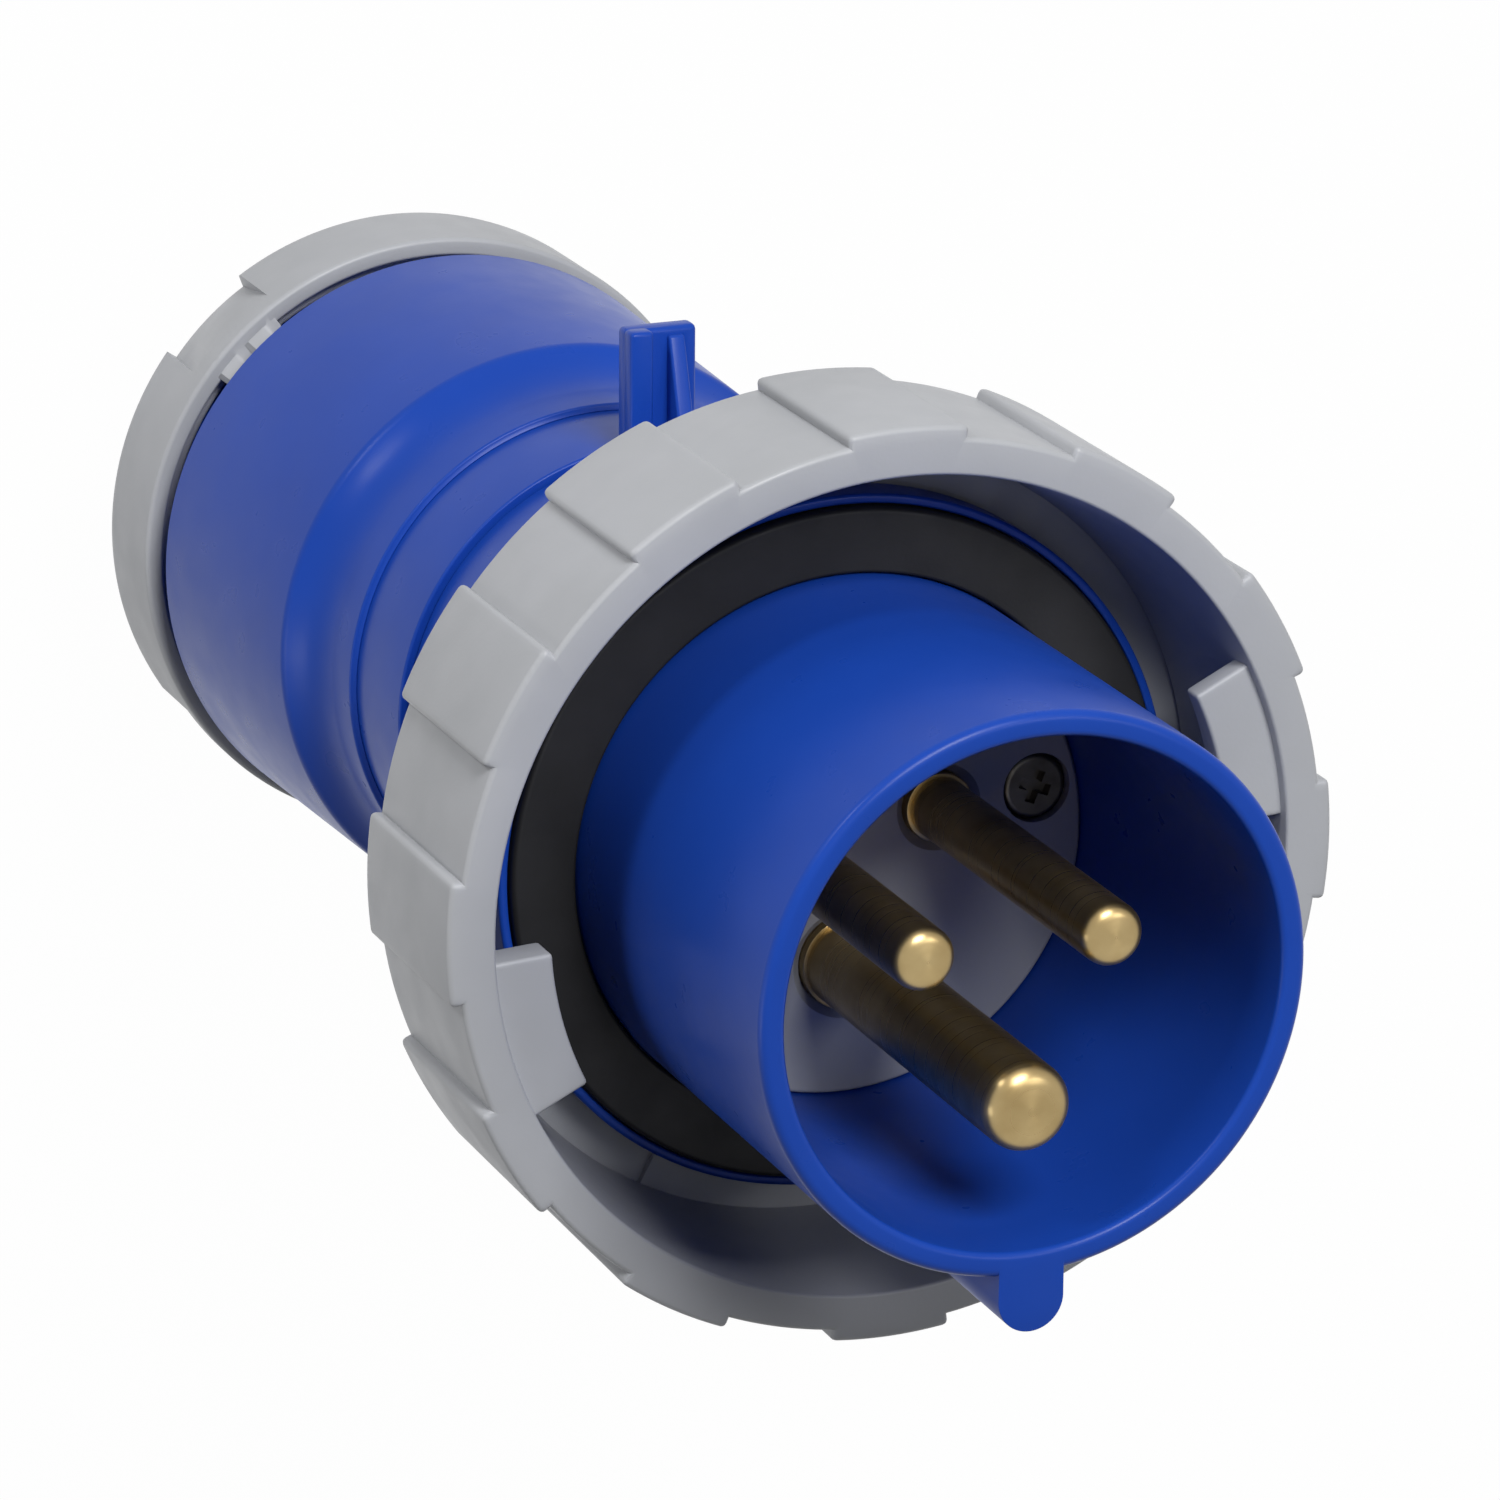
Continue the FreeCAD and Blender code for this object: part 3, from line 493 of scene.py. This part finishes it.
ring = turned("locking_ring_moulding", rounded([
    (RING_FRONT, RING_INNER, 0.3), (RING_FRONT, RING_OUTER, 0.45), (WEB_REAR, RING_OUTER, 0.45),
    (WEB_REAR, WEB_BORE, 0.1), (WEB_FRONT, WEB_BORE, 0.1), (WEB_FRONT, RING_INNER, 0.8)]),
    steps=240)
for i in range(PAD_COUNT):
    pad = turned("grip_pad", [(RING_FRONT, RING_OUTER - 1), (RING_FRONT, PAD_RADIUS), (WEB_REAR, PAD_RADIUS),
                              (WEB_REAR, RING_OUTER - 1)],
                 steps=12, sweep=PAD_ANGLE, clock=PAD_CLOCK + 360 / PAD_COUNT * i)
    soften(pad, 0.45)
    combine(ring, pad)


def turn_from(clock, vertex):
    """How far a vertex lies from a clock angle about the plug's axis, in degrees."""
    return (math.degrees(math.atan2(vertex.co.x, vertex.co.y)) - clock + 180) % 360 - 180


for i in range(LUG_COUNT):
    clock = LUG_CLOCK + 360 / LUG_COUNT * i
    lug = turned("lug", [(LUG_FRONT, LUG_INNER), (LUG_FRONT, LUG_ROOT), (LUG_REAR, LUG_ROOT),
                         (LUG_REAR, LUG_INNER)],
                 steps=20, sweep=LUG_ANGLE, clock=clock)
    for vertex in lug.data.vertices:
        if vertex.co.z < (0.1 - LUG_REAR) * MM:
            way = math.radians(turn_from(clock, vertex)) * LUG_MIDDLE
            vertex.co.z += max(0.0, LUG_RAMP_REACH - way * math.tan(LUG_RAMP)) * MM
    soften(lug, 0.3)
    combine(ring, lug)
    web_pad = turned("web_pad", [(WEB_PAD_FRONT, WEB_PAD_INNER), (WEB_PAD_FRONT, LUG_ROOT),
                                 (WEB_PAD_REAR, LUG_ROOT), (WEB_PAD_REAR, WEB_PAD_INNER)],
                     steps=60, sweep=WEB_PAD_ANGLE, clock=WEB_PAD_CLOCK + 360 / LUG_COUNT * i)
    combine(ring, web_pad)
notch = turned("stop_notch", [(NOTCH_FRONT, NOTCH_INNER), (NOTCH_FRONT, NOTCH_RADIUS),
                              (NOTCH_REAR, NOTCH_RADIUS), (NOTCH_REAR, NOTCH_INNER)],
               steps=50, sweep=NOTCH_ANGLE, clock=NOTCH_CLOCK)
combine(ring, notch, "DIFFERENCE")
fit(ring, "locking_ring", "ring_plastic", ring_grey, "locking_ring")


# The gland nut is moulded in the same grey. Four recesses that deepen to the rear give the hand
# a grip, and two ratchet pawls in its open rim stand in the dark gap before the barrel.
NUT_RADIUS = 27.0
NUT_RIM_INNER = 25.4
NUT_FRONT = 129.0
NUT_SHOULDER = 139.5
NUT_REAR = 150.0
NUT_REAR_RADIUS = 16.5
NUT_THREAD_RADIUS = 24.0
NUT_THREAD_FRONT = 131.0
NUT_CABLE_HOLE = 10.5
NUT_POCKET_RADIUS = 16.4
NUT_POCKET_FLOOR = 147.2
GRIP_COUNT = 4
GRIP_FRONT = 131.5
GRIP_REAR = 151.0
GRIP_OUTER = 31.0
GRIP_ANGLE = 20.0
GRIP_CLOCK = -43.0
GRIP_FALL = 4.15
PAWL_COUNT = 2
PAWL_FRONT = 127.4
PAWL_ROOT = 131.5
PAWL_INNER = 24.3
PAWL_OUTER = 25.9
PAWL_TIP_RADIUS = 25.0
PAWL_TOOTH = 1.4
PAWL_ANGLE = 16.0
nut = turned("gland_nut_moulding", rounded([
    (NUT_FRONT, NUT_RIM_INNER, 0.3), (NUT_FRONT, NUT_RADIUS, 0.45), (NUT_SHOULDER, NUT_RADIUS, 2.2),
    (NUT_REAR, NUT_REAR_RADIUS, 1.8), (NUT_REAR, NUT_CABLE_HOLE, 0.8),
    (NUT_POCKET_FLOOR, NUT_CABLE_HOLE, 0.3), (NUT_POCKET_FLOOR, NUT_POCKET_RADIUS, 0.1),
    (145.1, NUT_POCKET_RADIUS, 0.1), (139.3, NUT_THREAD_RADIUS, 0.1),
    (NUT_THREAD_FRONT, NUT_THREAD_RADIUS, 0.4), (NUT_THREAD_FRONT, NUT_RIM_INNER, 0.1)]), steps=240)
for i in range(GRIP_COUNT):
    recess = turned("grip_recess", [(GRIP_FRONT, NUT_RADIUS), (GRIP_REAR, NUT_RADIUS - GRIP_FALL),
                                    (GRIP_REAR, GRIP_OUTER), (GRIP_FRONT, GRIP_OUTER)],
                    steps=20, sweep=GRIP_ANGLE, clock=GRIP_CLOCK + 360 / GRIP_COUNT * i)
    combine(nut, recess, "DIFFERENCE")
for i in range(PAWL_COUNT):
    clock = GRIP_CLOCK + 360 / PAWL_COUNT * i
    pawl = turned("pawl", [(PAWL_FRONT, PAWL_INNER), (PAWL_FRONT, PAWL_TIP_RADIUS), (NUT_FRONT, PAWL_OUTER),
                           (PAWL_ROOT, PAWL_OUTER), (PAWL_ROOT, PAWL_INNER)],
                  steps=16, sweep=PAWL_ANGLE, clock=clock)
    for vertex in pawl.data.vertices:
        if vertex.co.z > -(PAWL_FRONT + 0.1) * MM:
            turn = turn_from(clock, vertex)
            vertex.co.z -= PAWL_TOOTH * MM * (2 * (turn / PAWL_ANGLE + 0.5) % 1.0)
    combine(nut, pawl)
fit(nut, "gland_nut", "ring_plastic", ring_grey, "gland_nut")


# The small parts inside keep their turned shapes: terminal screws of plated steel, carrier screws whose
# steel is painted near black as the shade in their recesses, spring-hard pressure plates, the O-ring,
# the rubber bush, the ring of claws and the slip washer.
def metal(name, dark, light, smooth, rough):
    """Plated or rolled metal with faint streaks."""
    material, nodes, links, shader, place = finish_nodes(name, metallic=1.0)
    streaks = grain(nodes, links, place, 500.0)
    links.new(tint(nodes, links, streaks, dark, light), shader.inputs["Base Color"])
    gloss = grain(nodes, links, place, 1400.0)
    links.new(spread(nodes, links, gloss, smooth, rough), shader.inputs["Roughness"])
    relief(nodes, links, shader, grain(nodes, links, place, 3000.0), 0.1, 0.02)
    return material


plated_steel = metal("zinc_plate", (0.50, 0.50, 0.49), (0.62, 0.62, 0.60), 0.25, 0.40)
# Painted shade: the carrier screws' steel is near black for the shade that falls in their recesses.
steel_painted_shade = metal("steel_painted_shade", (0.07, 0.065, 0.06), (0.11, 0.105, 0.10), 0.34, 0.48)
spring_plate = metal("nickel_plate", (0.55, 0.54, 0.52), (0.66, 0.65, 0.62), 0.22, 0.34)
bush_rubber = moulded("bush_rubber", (0.020, 0.020, 0.020), (0.034, 0.034, 0.034), 0.55, 0.70, texture=1.6)
cage_grey = moulded("cage_polyamide", (0.30, 0.31, 0.32), (0.36, 0.37, 0.38), 0.42, 0.52)
washer_white = moulded("washer_plastic", (0.66, 0.66, 0.64), (0.74, 0.74, 0.72), 0.30, 0.40)
inner_finishes = {
    "live_terminal_screw": plated_steel, "neutral_terminal_screw": plated_steel,
    "earth_terminal_screw": plated_steel, "live_pressure_plate": spring_plate,
    "neutral_pressure_plate": spring_plate, "earth_pressure_plate": spring_plate,
    "right_carrier_screw": steel_painted_shade, "left_carrier_screw": steel_painted_shade, "housing_seal": black_rubber,
    "gland_seal": bush_rubber, "clamp_cage": cage_grey, "thrust_washer": washer_white}
for node, finish in inner_finishes.items():
    refinish(node, finish)


# The studio: a pale floor that runs to white, low enough for the nut to be unscrewed above it,
# soft lamps above, to the left and in front, and the camera where the photograph was taken.
MOUTH_PIXEL = (1037.9, 998.3)
FOCAL_PIXELS = 7160.0
FRAME_PIXELS = 1500.0
SENSOR_WIDTH = 36.0
DISTANCE = 524.9 * MM
AZIMUTH = math.radians(-22.55)
ELEVATION = math.radians(18.12)
ROLL = math.radians(0.53)
back = Vector((math.sin(AZIMUTH) * math.cos(ELEVATION), math.sin(ELEVATION),
               math.cos(AZIMUTH) * math.cos(ELEVATION)))
level = Vector((math.cos(AZIMUTH), 0.0, -math.sin(AZIMUTH)))
upright = back.cross(level)
right = level * math.cos(ROLL) + upright * math.sin(ROLL)
up = back.cross(right)
mouth = Vector(((MOUTH_PIXEL[0] - FRAME_PIXELS / 2) / FOCAL_PIXELS * DISTANCE,
                -(MOUTH_PIXEL[1] - FRAME_PIXELS / 2) / FOCAL_PIXELS * DISTANCE, -DISTANCE))
camera_data = bpy.data.cameras.new("photo_camera")
camera_data.sensor_width = SENSOR_WIDTH
camera_data.lens = FOCAL_PIXELS / FRAME_PIXELS * SENSOR_WIDTH
camera_data.clip_start = 0.01
camera = bpy.data.objects.new("photo_camera", camera_data)
bpy.context.scene.collection.objects.link(camera)
axes = Matrix((right, up, back)).transposed()
camera.matrix_world = Matrix.Translation(-(axes @ mouth)) @ axes.to_4x4()
bpy.context.scene.camera = camera

FLOOR_DEPTH = 159.5
FLOOR_WHITE = 0.60
FLOOR_GLOW = 0.985
bpy.ops.object.select_all(action="DESELECT")
bpy.ops.mesh.primitive_plane_add(size=6.0, location=(0, 0, -FLOOR_DEPTH * MM))
floor = bpy.context.object
floor.name = "studio_floor"
floor_paper = bpy.data.materials.new("studio_floor")
floor_paper.use_nodes = True
floor_nodes, floor_links = floor_paper.node_tree.nodes, floor_paper.node_tree.links
floor_shader = floor_nodes["Principled BSDF"]
floor_shader.inputs["Base Color"].default_value = (FLOOR_WHITE, FLOOR_WHITE, FLOOR_WHITE, 1)
floor_shader.inputs["Roughness"].default_value = 0.9


def seen_directly(nodes, links):
    """One for rays from the camera and for those seen in gloss or through glass, and else nought."""
    path = nodes.new("ShaderNodeLightPath")
    total = path.outputs["Is Camera Ray"]
    for output in ("Is Glossy Ray", "Is Transmission Ray"):
        either = nodes.new("ShaderNodeMath")
        either.operation = "MAXIMUM"
        links.new(total, either.inputs[0])
        links.new(path.outputs[output], either.inputs[1])
        total = either.outputs["Value"]
    return total


glow = floor_nodes.new("ShaderNodeEmission")
glow_share = floor_nodes.new("ShaderNodeMath")
glow_share.operation = "MULTIPLY"
glow_share.inputs[1].default_value = FLOOR_GLOW
floor_links.new(seen_directly(floor_nodes, floor_links), glow_share.inputs[0])
blend = floor_nodes.new("ShaderNodeMixShader")
floor_links.new(glow_share.outputs["Value"], blend.inputs["Fac"])
floor_links.new(floor_shader.outputs["BSDF"], blend.inputs[1])
floor_links.new(glow.outputs["Emission"], blend.inputs[2])
floor_links.new(blend.outputs["Shader"], floor_nodes["Material Output"].inputs["Surface"])
floor.data.materials.append(floor_paper)


def soft_lamp(name, place, aim, size, power):
    """An area lamp that faces its aim; places and sizes are in metres, the power in watts."""
    lamp_data = bpy.data.lights.new(name, "AREA")
    lamp_data.shape = "RECTANGLE"
    lamp_data.size, lamp_data.size_y = size
    lamp_data.energy = power
    lamp = bpy.data.objects.new(name, lamp_data)
    bpy.context.scene.collection.objects.link(lamp)
    lamp.location = place
    lamp.rotation_euler = (Vector(aim) - Vector(place)).to_track_quat("-Z", "Y").to_euler()


soft_lamp("key_lamp", (0.00, 0.60, 0.67), (0, 0, -0.05), (0.36, 0.36), 7.8)
soft_lamp("high_left_lamp", (-0.60, 0.66, 0.06), (0, 0, -0.09), (0.14, 0.14), 1.5)
soft_lamp("left_lamp", (-0.85, -0.22, -0.02), (0, 0, -0.08), (0.20, 0.50), 1.2)
soft_lamp("front_lamp", (0.42, 0.25, 0.80), (0, 0, -0.02), (0.30, 0.30), 1.3)

world = bpy.data.worlds.new("studio")
bpy.context.scene.world = world
world.use_nodes = True
world_nodes, world_links = world.node_tree.nodes, world.node_tree.links
SKY_STRENGTH = 0.05
sky = world_nodes["Background"]
sky.inputs["Color"].default_value = (1, 1, 1, 1)
sky_range = world_nodes.new("ShaderNodeMapRange")
sky_range.inputs["To Min"].default_value = SKY_STRENGTH
sky_range.inputs["To Max"].default_value = 1.0
world_links.new(seen_directly(world_nodes, world_links), sky_range.inputs["Value"])
world_links.new(sky_range.outputs["Result"], sky.inputs["Strength"])
bpy.context.scene.view_settings.view_transform = "Standard"
